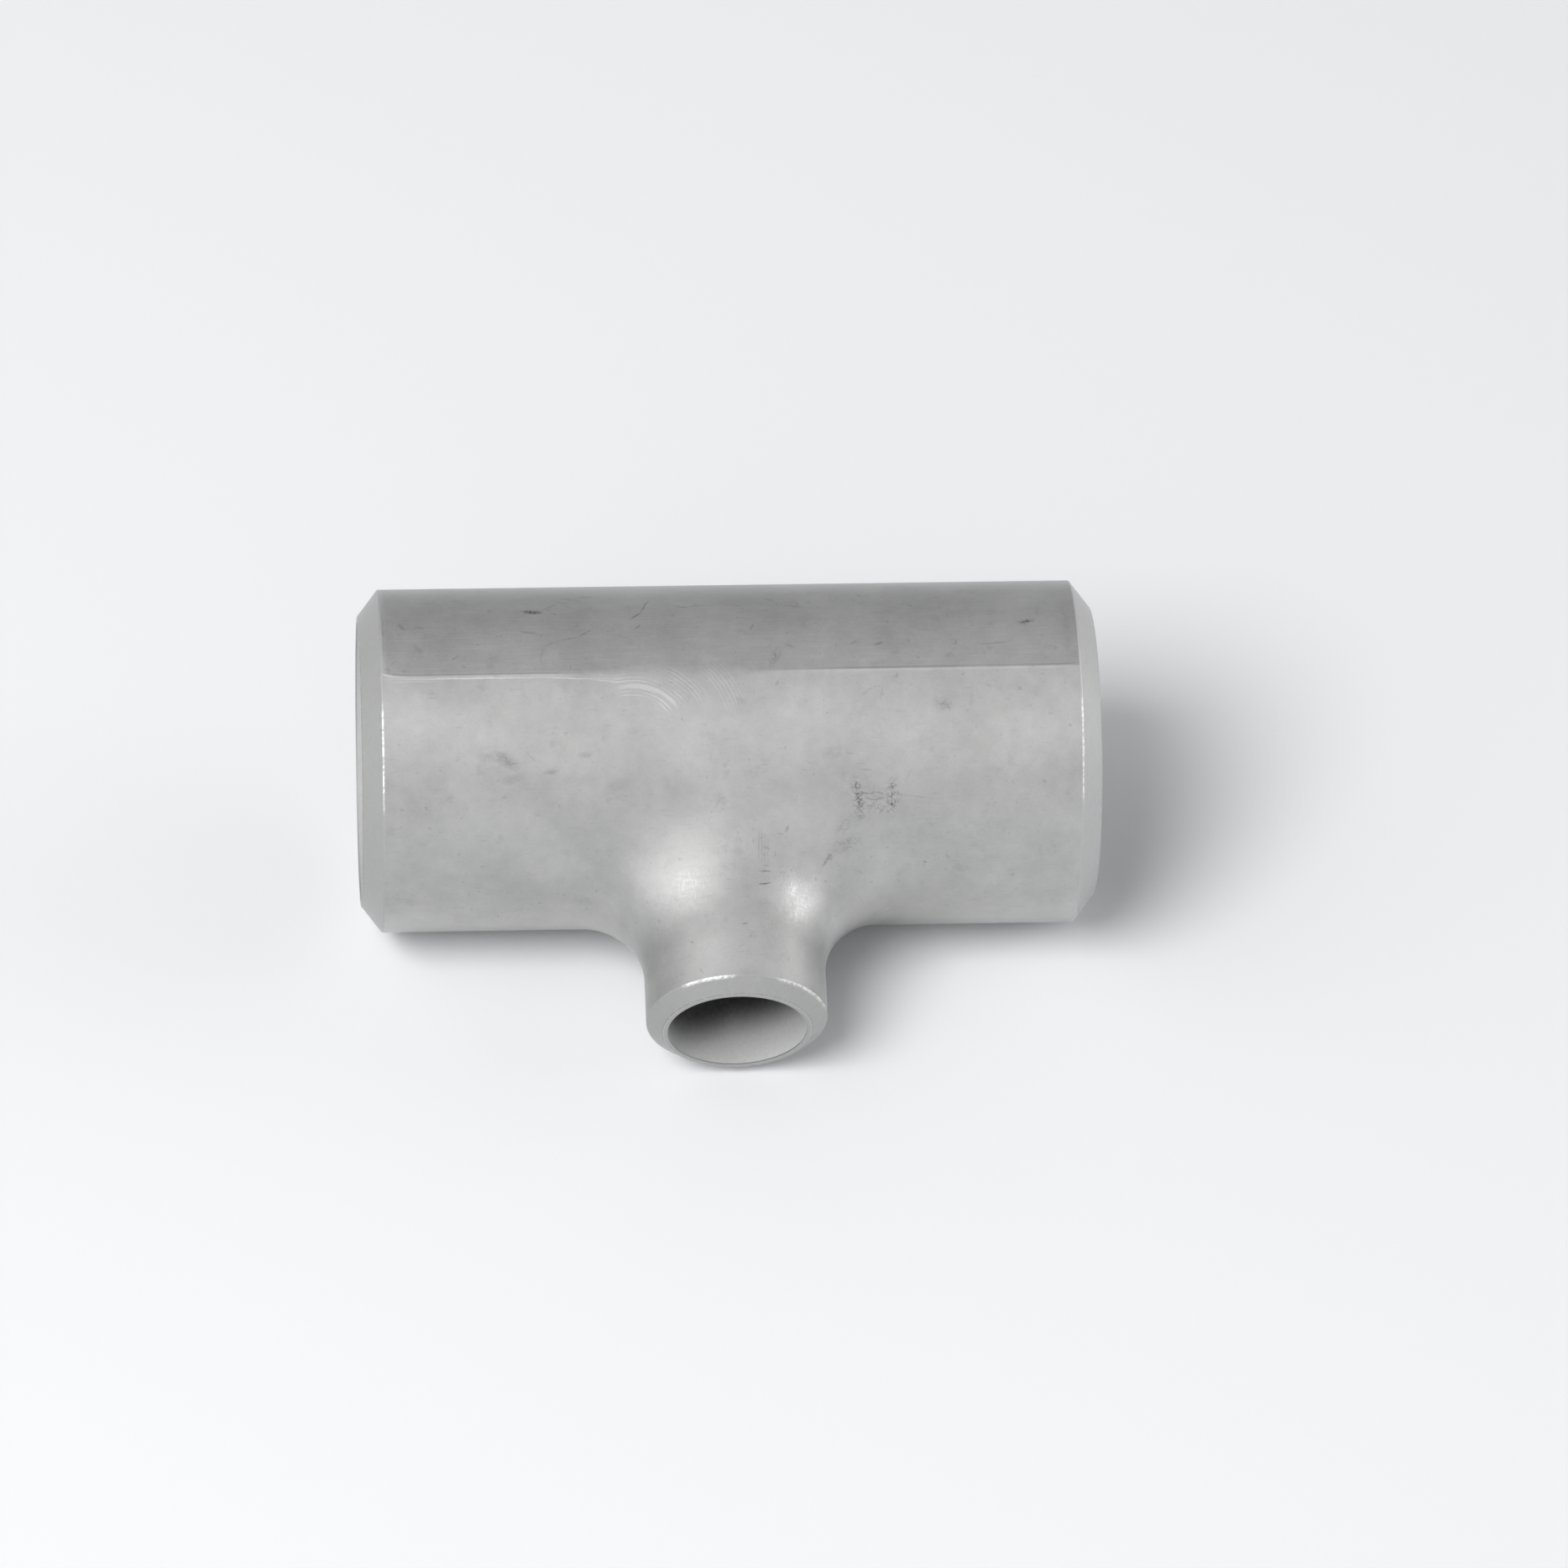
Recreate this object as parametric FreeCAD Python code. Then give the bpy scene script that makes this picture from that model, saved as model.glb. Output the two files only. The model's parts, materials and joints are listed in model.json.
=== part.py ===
import FreeCAD, Part
import math
import os

# Driving dimensions, in millimetres and degrees
run_od = 60.3
run_wall = 5.54
run_half_length = 64.5
outlet_od = 31.6
outlet_wall = 3.7
outlet_reach = 55.4
bevel_angle = 37.5
weld_land = 0.85

# The outlet is drawn out of the run, so its neck sweeps wider at the sides than in the crotch
neck_crotch_radius = 14.5
neck_side_radius = 30.0
bore_blend_radius = 12.0

# The two halves of the forming die leave a fine ridge along each side of the run.
# It is ground away beside the neck, more to the left than to the right.
ridge_height = 0.15
ridge_radius = 0.45
ridge_end_gap = 0.6
ridge_left_gap = 26.0
ridge_right_gap = 2.0

# How far a cutting solid stands out past the metal that it cuts
overshoot = 2.0

# Worked out from the sizes above
run_radius = run_od / 2
run_bore_radius = run_radius - run_wall
outlet_radius = outlet_od / 2
outlet_bore_radius = outlet_radius - outlet_wall
bevel_slope = math.tan(math.radians(bevel_angle))
run_bevel_depth = (run_wall - weld_land) * bevel_slope
outlet_bevel_depth = (outlet_wall - weld_land) * bevel_slope

ORIGIN = FreeCAD.Vector(0, 0, 0)
ALONG_RUN = FreeCAD.Vector(1, 0, 0)
ACROSS = FreeCAD.Vector(0, 1, 0)
ALONG_OUTLET = FreeCAD.Vector(0, 0, 1)


def resting_dip():
    """Angle below level at which the outlet's outer rim meets the floor under the run."""
    rim_reach = outlet_reach - outlet_bevel_depth
    rim_distance = math.hypot(rim_reach, outlet_radius)
    return math.asin(run_radius / rim_distance) - math.atan2(outlet_radius, rim_reach)


def on_both_walls(point, across_radius, up_radius):
    """True where a point lies on the run's wall and on the outlet's wall at once."""
    from_run_axis = math.hypot(point.y, point.z)
    from_outlet_axis = math.hypot(point.x, point.y)
    tolerance = 0.001
    on_run = abs(from_run_axis - across_radius) < tolerance
    on_outlet = abs(from_outlet_axis - up_radius) < tolerance
    return on_run and on_outlet


def crossing_edge(quarter, across_radius, up_radius):
    """The one edge of a quarter where the outlet's wall leaves the run's wall."""
    for edge in quarter.Edges:
        middle = edge.valueAt((edge.FirstParameter + edge.LastParameter) / 2)
        ends = [vertex.Point for vertex in edge.Vertexes]
        if all(on_both_walls(point, across_radius, up_radius) for point in ends + [middle]):
            return edge
    raise ValueError("the outlet doesn't cross the run")


def blended_quarter(across_radius, half_length, up_radius, reach, crotch_radius, side_radius):
    """A quarter of two crossing rods, with a rolling blend that widens towards the side."""
    span = half_length + reach
    quarter_space = Part.makeBox(span, span, 2 * span, FreeCAD.Vector(0, 0, -span))
    run = Part.makeCylinder(across_radius, half_length, ORIGIN, ALONG_RUN)
    outlet = Part.makeCylinder(up_radius, reach, ORIGIN, ALONG_OUTLET)
    quarter = run.fuse(outlet).common(quarter_space).removeSplitter()
    edge = crossing_edge(quarter, across_radius, up_radius)
    radii = (crotch_radius, side_radius)
    if edge.Vertexes[0].Point.x < edge.Vertexes[-1].Point.x:
        radii = (side_radius, crotch_radius)
    return quarter.makeFillet(radii[0], radii[1], [edge])


def crossing_rods(across_radius, half_length, up_radius, reach, crotch_radius, side_radius):
    """Two crossing rods made whole from one blended quarter and its mirror images."""
    quarter = blended_quarter(across_radius, half_length, up_radius, reach,
                              crotch_radius, side_radius)
    half = quarter.fuse(quarter.mirror(ORIGIN, ALONG_RUN))
    whole = half.fuse(half.mirror(ORIGIN, ACROSS))
    return whole.removeSplitter()


def die_ridges():
    """Fine ridges on both sides of the run, where the two die halves met."""
    run_end = run_half_length - run_bevel_depth - ridge_end_gap
    centre_offset = run_radius + ridge_height - ridge_radius
    ridges = []
    for side in (-1, 1):
        for start, stop in ((-run_end, -ridge_left_gap), (ridge_right_gap, run_end)):
            base = FreeCAD.Vector(start, side * centre_offset, 0)
            ridges.append(Part.makeCylinder(ridge_radius, stop - start, base, ALONG_RUN))
    return ridges


def bevel_cutter(radius, wall):
    """Ring that cuts a weld bevel, about +Z, with the end face at height zero."""
    land_radius = radius - wall + weld_land
    outer_radius = radius + overshoot
    depth = (outer_radius - land_radius) * bevel_slope
    corners = [
        FreeCAD.Vector(land_radius, 0, 0),
        FreeCAD.Vector(land_radius, 0, overshoot),
        FreeCAD.Vector(outer_radius, 0, overshoot),
        FreeCAD.Vector(outer_radius, 0, -depth),
    ]
    profile = Part.Face(Part.makePolygon(corners + corners[:1]))
    return profile.revolve(ORIGIN, ALONG_OUTLET, 360)


def bevel_cutters():
    """One bevel ring at each end of the run and one at the outlet."""
    cutters = []
    for side in (-1, 1):
        ring = bevel_cutter(run_radius, run_wall)
        ring.rotate(ORIGIN, ACROSS, side * 90)
        ring.translate(ALONG_RUN * (side * run_half_length))
        cutters.append(ring)
    ring = bevel_cutter(outlet_radius, outlet_wall)
    ring.translate(ALONG_OUTLET * outlet_reach)
    cutters.append(ring)
    return cutters


def tee_body():
    """The whole fitting, standing with its outlet straight up."""
    blank = crossing_rods(run_radius, run_half_length, outlet_radius, outlet_reach,
                          neck_crotch_radius, neck_side_radius)
    blank = blank.fuse(die_ridges())
    hollow = crossing_rods(run_bore_radius, run_half_length + overshoot,
                           outlet_bore_radius, outlet_reach + overshoot,
                           bore_blend_radius, bore_blend_radius)
    return blank.cut([hollow] + bevel_cutters())


def laid_to_rest(body):
    """Turns the fitting to lie on its run with the outlet's rim down in front."""
    body.rotate(ORIGIN, ALONG_RUN, 90 + math.degrees(resting_dip()))
    return body


os.makedirs("parts", exist_ok=True)
laid_to_rest(tee_body()).exportStep("parts/tee_body.step")
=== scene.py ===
import json
import math
from collections import namedtuple

import bmesh
import bpy
import numpy as np
from bpy.props import FloatProperty, FloatVectorProperty, PointerProperty
from mathutils import Matrix, Vector


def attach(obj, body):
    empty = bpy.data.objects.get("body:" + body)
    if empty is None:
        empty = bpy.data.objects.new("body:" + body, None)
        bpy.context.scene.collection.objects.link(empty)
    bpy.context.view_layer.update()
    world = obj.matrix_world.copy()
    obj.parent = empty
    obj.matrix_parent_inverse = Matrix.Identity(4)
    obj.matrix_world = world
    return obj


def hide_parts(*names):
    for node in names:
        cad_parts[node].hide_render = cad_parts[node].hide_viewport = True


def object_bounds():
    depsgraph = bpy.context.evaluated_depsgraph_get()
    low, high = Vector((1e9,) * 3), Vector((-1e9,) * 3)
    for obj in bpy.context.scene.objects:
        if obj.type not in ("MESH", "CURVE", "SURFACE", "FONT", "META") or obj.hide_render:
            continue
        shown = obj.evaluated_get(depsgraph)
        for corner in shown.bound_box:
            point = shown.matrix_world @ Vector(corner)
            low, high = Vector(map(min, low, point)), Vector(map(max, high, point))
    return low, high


bl_info = {
    "name": "Butt Weld Tee",
    "version": (1, 0, 0),
    "blender": (4, 5, 0),
    "location": "View3D > Sidebar > Fittings",
    "description": "A reducing butt weld tee of pickled steel, lying on a pale floor",
    "category": "Object",
}

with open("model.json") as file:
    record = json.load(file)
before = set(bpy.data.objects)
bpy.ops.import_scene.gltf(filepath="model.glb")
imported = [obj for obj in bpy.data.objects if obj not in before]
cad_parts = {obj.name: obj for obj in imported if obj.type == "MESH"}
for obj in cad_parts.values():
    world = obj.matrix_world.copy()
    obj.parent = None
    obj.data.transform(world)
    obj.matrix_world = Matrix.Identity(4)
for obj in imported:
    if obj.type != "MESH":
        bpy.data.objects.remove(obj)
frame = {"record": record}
cad_low, cad_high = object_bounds()

MM = 0.001


def interface(name):
    """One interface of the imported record, found by its name."""
    return next(entry for entry in frame["record"]["mounts"] if entry["name"] == name)


# Sizes that the frame gives, in metres
outlet_direction = Vector(interface("outlet_bore")["axis"])
outlet_face = Vector(interface("outlet_end")["pos_m"])
outlet_reach = outlet_face.dot(outlet_direction)
outlet_bore_radius = interface("outlet_bore")["dims"]["r_mm"] * MM
land_middle = (outlet_face - outlet_direction * outlet_reach).length
floor_height = cad_low.z

# Turn about X that takes the outlet from straight up to where it points in the frame
lying_turn = math.atan2(-outlet_direction.y, outlet_direction.z)


def metres(name, description, default, least):
    """Property of a length."""
    return FloatProperty(name=name, description=description, default=default, min=least, unit="LENGTH")


def degrees(name, description, default, **limits):
    """Property of an angle, with its default given in degrees."""
    return FloatProperty(name=name, description=description, default=math.radians(default),
                         subtype="ANGLE", **limits)


def tint(name, description, *default):
    """Property of a colour."""
    return FloatVectorProperty(name=name, description=description, default=default,
                               min=0, max=1, size=3, subtype="COLOR")


def watts(name, description, default):
    """Property of a light's power."""
    return FloatProperty(name=name, description=description, default=default, min=0, unit="POWER")


def fraction(name, description, default):
    """Property of a share from 0 to 1."""
    return FloatProperty(name=name, description=description, default=default,
                         min=0, max=1, subtype="FACTOR")


class TeeSizes(bpy.types.PropertyGroup):
    """Sizes of the fitting"""

    run_radius: metres("Run radius", "Outside radius of the straight run", -cad_low.z, 0.005)
    run_bore_radius: metres("Run bore radius", "Inside radius of the straight run",
                            interface("run_bore")["dims"]["r_mm"] * MM, 0.004)
    run_half_length: metres("Run half length", "From the outlet's axis to an end of the run",
                            cad_high.x, 0.01)
    outlet_radius: metres("Outlet radius", "Outside radius of the outlet", 0.0158, 0.003)
    outlet_bore_radius: metres("Outlet bore radius", "Inside radius of the outlet",
                               outlet_bore_radius, 0.002)
    outlet_reach: metres("Outlet reach", "From the run's axis to the outlet's end face",
                         outlet_reach, 0.01)
    bevel_angle: degrees("Bevel angle", "Angle of the weld bevel from the end face", 37.5,
                         min=0.1, max=1.2)
    weld_land: metres("Weld land", "Width of the flat ring left at each end",
                      2 * (land_middle - outlet_bore_radius), 0.0002)
    crotch_radius: metres("Crotch radius", "Blend of the neck into the run, along the run",
                          0.0145, 0.001)
    side_radius: metres("Side radius", "Blend of the neck into the run, across the run",
                        0.030, 0.001)
    bore_blend_radius: metres("Bore blend radius", "Blend between the two bores", 0.012, 0.001)
    ridge_height: metres("Ridge height", "How far the die ridge stands out of the run",
                         0.00015, 0.0)
    edge_ease: metres("Edge ease", "How far each machined edge is eased", 0.00014, 0.00002)


class SteelFinish(bpy.types.PropertyGroup):
    """Colours and gloss of the steel"""

    pickled_colour: tint("Pickled steel", "Steel on the outlet's side of the die ridge",
                         0.464, 0.461, 0.457)
    dull_colour: tint("Dull steel", "Steel on the back half, beyond the die ridge",
                      0.358, 0.356, 0.353)
    turned_colour: tint("Turned steel", "Steel of the machined weld bevels", 0.464, 0.461, 0.457)
    bore_colour: tint("Bore steel", "Steel inside the fitting", 0.60, 0.595, 0.59)
    roughness: fraction("Roughness", "Roughness of the pickled surface", 0.34)


class StageSettings(bpy.types.PropertyGroup):
    """Floor, light and camera"""

    floor_colour: tint("Floor", "Colour of the pale floor", 0.94, 0.943, 0.95)
    key_power: watts("Key light", "Power of the broad light at the left and in front", 12.5)
    core_power: watts("Key light's core", "Power of the smaller light in front of the key light", 0.7)
    floor_power: watts("Floor light", "Power of the light that throws the shadow", 38.5)
    side_power: watts("Side light", "Power of the broad low light at the right", 3.0)
    small_power: watts("Small light", "Power of the small light at the right", 0.6)
    sky_strength: fraction("Surrounding light", "Light from the horizon all round; none from above",
                           0.86)
    backdrop_above: fraction("Backdrop above", "Brightness that the steel shows from straight above",
                             0.92)
    backdrop_horizon: fraction("Backdrop horizon", "Brightness that the steel shows from the horizon",
                               0.97)
    backdrop_behind: fraction("Backdrop behind", "Brightness that the steel shows from low behind it",
                              0.70)
    view_azimuth: degrees("View azimuth", "Turn of the camera's view from straight along +Y", 4.533)
    view_elevation: degrees("View elevation", "How steeply the camera looks down", 43.28)
    view_roll: degrees("View roll", "Turn of the camera about its own view", 2.272)
    view_distance: metres("View distance", "From the camera to the point that it looks at", 2.0, 0.1)
    view_aim: FloatVectorProperty(
        name="View aim", description="Point in the middle of the picture",
        default=(0.0103, -0.00388, -0.00329), size=3, subtype="TRANSLATION", unit="LENGTH")
    focal_length: FloatProperty(
        name="Focal length", description="Focal length on a sensor 36 mm wide, in millimetres",
        default=260.634, min=10)


# The fitting is shaped with its run along X and its outlet up along Z, then laid down.
# An angle about the run is measured from the outlet's side towards +Y. The outlet rises
# from a patch of the run's wall, and the back is the rest of the wall.
PATCH_HALF_ANGLE = math.radians(72)
ALONG_STEPS = 112
AROUND_STEPS = 64
BACK_STEP = math.radians(2.6)
ANGLE_DIGITS = 9
WELD_DISTANCE = 1e-7

# Rows of faces in each sheet that belongs to the outlet
FOOT_ROWS = 26
NECK_ROWS = 30
OUTLET_ROWS = 9
BORE_ROWS = 12
BLEND_ROWS = 14
INNER_FOOT_ROWS = 14

# Steps round each eased edge, and where the next line lies beside it, in eases
EASE_STEPS = 4
HOLD = 1.7

# How gently the neck's blend passes its widest place, at the neck's sides
SIDE_SOFTNESS = 0.14

# Angles of the two die ridges, and their form and ends in metres
RIDGE_SIDES = (math.radians(90), math.radians(270))
RIDGE_RADIUS = 0.00045
RIDGE_END_GAP = 0.0006
RIDGE_LEFT_GAP = 0.026
RIDGE_RIGHT_GAP = 0.002
RIDGE_LEFT_FADE = 0.007
RIDGE_RIGHT_FADE = 0.020

# Lines along each ridge and just beside it, in half widths of the ridge
RIDGE_LINES = (-1.5, -1.05, -0.8, -0.45, 0, 0.45, 0.8, 1.05, 1.5)

# The die ridge runs a little out of line: this far off at the middle, and this much more a
# metre. The drift fades to both sides over its reach, and close to the rims by a high power.
RIDGE_DRIFT = math.radians(-1.15)
RIDGE_DRIFT_RATE = math.radians(0.5) / 0.060
RIDGE_DRIFT_REACH = math.radians(12)
RIM_POWER = 40

FRONT, NECK, BACK, TURNED, BORE = range(5)


def bevel_depth(outer_radius, bore_radius, sizes):
    """How far back from an end face its bevel reaches on the outside."""
    land_radius = bore_radius + sizes.weld_land
    return (outer_radius - land_radius) * math.tan(sizes.bevel_angle)


def eased_path(corners, ease):
    """Points through corners, each rounded off by a short curve and held on both sides."""
    path = []
    for before, corner, after in zip(corners, corners[1:], corners[2:]):
        toward = (before - corner) / np.linalg.norm(before - corner)
        away = (after - corner) / np.linalg.norm(after - corner)
        path.append(corner + toward * ease * HOLD)
        for share in np.linspace(0, 1, EASE_STEPS + 1):
            start = corner + toward * ease
            stop = corner + away * ease
            bent = (1 - share) ** 2 * start + 2 * share * (1 - share) * corner + share ** 2 * stop
            path.append(bent)
        path.append(corner + away * ease * HOLD)
    return path


def end_profile(outer_radius, bore_radius, sizes):
    """Section of a weld end from outer wall to bore, as (radius, depth behind the end face)."""
    depth = bevel_depth(outer_radius, bore_radius, sizes)
    corners = [
        np.array((outer_radius, 2 * depth)),
        np.array((outer_radius, depth)),
        np.array((bore_radius + sizes.weld_land, 0.0)),
        np.array((bore_radius, 0.0)),
        np.array((bore_radius, depth)),
    ]
    return eased_path(corners, sizes.edge_ease)


def on_wall(radius, along, angle):
    """Points on a cylinder about the run's axis."""
    return np.stack(np.broadcast_arrays(along, radius * np.sin(angle), radius * np.cos(angle)), -1)


def patch_border(half_length):
    """(place along the run, angle) round the rectangle of wall that the outlet rises from."""
    along = np.linspace(-half_length, half_length, ALONG_STEPS + 1)
    angle = np.linspace(-PATCH_HALF_ANGLE, PATCH_HALF_ANGLE, AROUND_STEPS + 1)
    right = [(half_length, value) for value in angle[:-1]]
    far = [(value, PATCH_HALF_ANGLE) for value in along[::-1][:-1]]
    left = [(-half_length, value) for value in angle[::-1][:-1]]
    near = [(value, -PATCH_HALF_ANGLE) for value in along[:-1]]
    return np.array(right + far + left + near)


def blend_radius(azimuth, crotch, side):
    """Radius of the rolling blend at an azimuth about the outlet."""
    softened = np.hypot(np.cos(azimuth), SIDE_SOFTNESS)
    most = math.hypot(1, SIDE_SOFTNESS)
    share = (most - softened) / (most - SIDE_SOFTNESS)
    return crotch + (side - crotch) * share


def blend_arcs(run_radius, outlet_radius, azimuth, radius, rows):
    """Rows of points from the run's wall up to the outlet's wall, over the rolling blend."""
    offset = outlet_radius + radius
    height = np.sqrt((run_radius + radius) ** 2 - (offset * np.sin(azimuth)) ** 2)
    centre = np.stack((offset * np.cos(azimuth), offset * np.sin(azimuth), height), -1)
    on_outlet = np.stack((outlet_radius * np.cos(azimuth), outlet_radius * np.sin(azimuth), height), -1)
    pull = run_radius / (run_radius + radius)
    on_run = np.stack((centre[:, 0], centre[:, 1] * pull, centre[:, 2] * pull), -1)
    start = (on_run - centre) / radius[:, None]
    stop = (on_outlet - centre) / radius[:, None]
    turn = np.arccos((start * stop).sum(-1))[:, None]
    arcs = []
    for share in np.linspace(0, 1, rows + 1):
        spoke = (np.sin((1 - share) * turn) * start + np.sin(share * turn) * stop) / np.sin(turn)
        arcs.append(centre + radius[:, None] * spoke)
    return arcs


def steps_between(start, stop, rows):
    """Evenly spaced steps from one array or number to another, with both ends."""
    return [start + (stop - start) * share for share in np.linspace(0, 1, rows + 1)]


def foot_rows(radius, border, foot, rows):
    """Rows of points on the run's wall from the rectangle's border in to the foot of the blend."""
    foot_border = np.stack((foot[:, 0], np.arctan2(foot[:, 1], foot[:, 2])), -1)
    return [on_wall(radius, *step.T) for step in steps_between(border, foot_border, rows)]


def tube_rows(radius, azimuth, start, stop, rows):
    """Rows of points on a cylinder about the outlet's axis, between two heights."""
    ring = (radius * np.cos(azimuth), radius * np.sin(azimuth))
    heights = steps_between(start, stop, rows)
    return [np.stack(np.broadcast_arrays(*ring, height), -1) for height in heights]


def ridge_rise(along, offset, sizes):
    """Height of a die ridge above the run's wall, at a place along it and across it."""
    sunk = RIDGE_RADIUS - sizes.ridge_height
    section = np.sqrt(np.maximum(RIDGE_RADIUS ** 2 - offset ** 2, 0)) - sunk
    depth = bevel_depth(sizes.run_radius, sizes.run_bore_radius, sizes)
    end = sizes.run_half_length - depth - RIDGE_END_GAP
    left = np.clip((-RIDGE_LEFT_GAP - along) / RIDGE_LEFT_FADE, 0, 1)
    right = np.clip((along - RIDGE_RIGHT_GAP) / RIDGE_RIGHT_FADE, 0, 1)
    inside = np.abs(along) < end
    return np.maximum(section, 0) * (left + right) * inside


def back_angles(sizes):
    """Angles of the lines along the back of the run, close together on the die ridges."""
    half_width = math.sqrt(RIDGE_RADIUS ** 2 - (RIDGE_RADIUS - sizes.ridge_height) ** 2)
    offsets = np.array(RIDGE_LINES) * half_width / sizes.run_radius
    near, far = (side + offsets for side in RIDGE_SIDES)
    stretches = (
        (PATCH_HALF_ANGLE, near[0]),
        (near[-1], far[0]),
        (far[-1], 2 * math.pi - PATCH_HALF_ANGLE),
    )
    plain = [np.linspace(start, stop, max(2, round((stop - start) / BACK_STEP)) + 1)
             for start, stop in stretches]
    return np.unique(np.concatenate([*plain, near, far]).round(ANGLE_DIGITS))


def back_sheet(radius, half_length, angles, sizes, ridged):
    """The run's wall away from the outlet, with the die ridges where it is the outer wall."""
    along = np.linspace(-half_length, half_length, ALONG_STEPS + 1)
    sheet = []
    for angle in angles:
        from_ridge = min(abs(angle - side) for side in RIDGE_SIDES)
        near = max(0, 1 - from_ridge / RIDGE_DRIFT_REACH)
        rise = ridge_rise(along, sizes.run_radius * from_ridge, sizes) if ridged else 0
        inside = 1 - (along / half_length) ** RIM_POWER
        drift = (RIDGE_DRIFT + RIDGE_DRIFT_RATE * along) * near * inside
        sheet.append(on_wall(radius + rise, along, angle + drift))
    return sheet


def outlet_sheets(sizes):
    """Every sheet of points that rises from the run's wall, up the outlet and back down its bore."""
    run_profile = end_profile(sizes.run_radius, sizes.run_bore_radius, sizes)
    outer_border = patch_border(sizes.run_half_length - run_profile[0][1])
    inner_border = patch_border(sizes.run_half_length - run_profile[-1][1])
    azimuth = np.arctan2(sizes.run_radius * outer_border[:, 1], outer_border[:, 0])
    radius = blend_radius(azimuth, sizes.crotch_radius, sizes.side_radius)
    neck = blend_arcs(sizes.run_radius, sizes.outlet_radius, azimuth, radius, NECK_ROWS)
    foot = foot_rows(sizes.run_radius, outer_border, neck[0], FOOT_ROWS)
    profile = end_profile(sizes.outlet_radius, sizes.outlet_bore_radius, sizes)
    top = sizes.outlet_reach - profile[0][1]
    tube = tube_rows(sizes.outlet_radius, azimuth, neck[-1][:, 2], top, OUTLET_ROWS)
    end = []
    for ring_radius, depth in profile:
        end += tube_rows(ring_radius, azimuth, sizes.outlet_reach - depth, sizes.outlet_reach, 0)
    inner_radius = np.full_like(azimuth, sizes.bore_blend_radius)
    blend = blend_arcs(sizes.run_bore_radius, sizes.outlet_bore_radius, azimuth, inner_radius, BLEND_ROWS)
    bore_top = sizes.outlet_reach - profile[-1][1]
    bore = tube_rows(sizes.outlet_bore_radius, azimuth, bore_top, blend[-1][:, 2], BORE_ROWS)
    inner_foot = foot_rows(sizes.run_bore_radius, inner_border, blend[0], INNER_FOOT_ROWS)
    return [
        (foot, FRONT), (neck, NECK), (tube, NECK), (end, TURNED),
        (bore, BORE), (blend[::-1], BORE), (inner_foot[::-1], BORE),
    ]


def run_end(side, angles, sizes):
    """Weld end of the run on one side, as rings from the outer wall to the bore."""
    profile = end_profile(sizes.run_radius, sizes.run_bore_radius, sizes)
    return [on_wall(radius, side * (sizes.run_half_length - depth), angles)
            for radius, depth in profile]


class Shell:
    """Sheets of points on the standing fitting, collected into one closed mesh that lies down."""

    def __init__(self):
        self.points = []
        self.faces = []
        self.finishes = []

    def add(self, rows, finish, closed):
        """Adds a sheet of rows of points; closed rows run back to their own start."""
        rows = np.array(rows)
        count, width = rows.shape[:2]
        first = len(self.points)
        self.points.extend(rows.reshape(-1, 3))
        columns = width if closed else width - 1
        for row in range(count - 1):
            for column in range(columns):
                beside = (column + 1) % width
                low = first + row * width
                high = low + width
                self.faces.append((low + column, low + beside, high + beside, high + column))
                self.finishes.append(finish)

    def mesh(self, name):
        """The welded mesh, with its faces turned outward and shaded smooth."""
        mesh = bpy.data.meshes.new(name)
        mesh.from_pydata(self.points, [], self.faces)
        mesh.polygons.foreach_set("material_index", self.finishes)
        work = bmesh.new()
        work.from_mesh(mesh)
        bmesh.ops.remove_doubles(work, verts=work.verts, dist=WELD_DISTANCE)
        bmesh.ops.recalc_face_normals(work, faces=work.faces)
        bmesh.ops.transform(work, matrix=Matrix.Rotation(lying_turn, 4, "X"), verts=work.verts)
        open_edges = [edge for edge in work.edges if len(edge.link_faces) != 2]
        work.to_mesh(mesh)
        work.free()
        if open_edges:
            raise RuntimeError(f"{len(open_edges)} edges of {name} are open or doubled")
        mesh.shade_smooth()
        return mesh


def tee_mesh(sizes):
    """The whole fitting in one closed mesh, lying as it comes to rest."""
    shell = Shell()
    for rows, finish in outlet_sheets(sizes):
        shell.add(rows, finish, closed=True)
    profile = end_profile(sizes.run_radius, sizes.run_bore_radius, sizes)
    angles = back_angles(sizes)
    outer_half = sizes.run_half_length - profile[0][1]
    inner_half = sizes.run_half_length - profile[-1][1]
    shell.add(back_sheet(sizes.run_radius, outer_half, angles, sizes, True), BACK, closed=False)
    shell.add(back_sheet(sizes.run_bore_radius, inner_half, angles, sizes, False), BORE, closed=False)
    front = np.linspace(-PATCH_HALF_ANGLE, PATCH_HALF_ANGLE, AROUND_STEPS + 1)
    around = np.concatenate((front, angles[1:-1]))
    for side in (-1, 1):
        shell.add(run_end(side, around, sizes), TURNED, closed=True)
    return shell.mesh("tee_body_steel")


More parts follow.
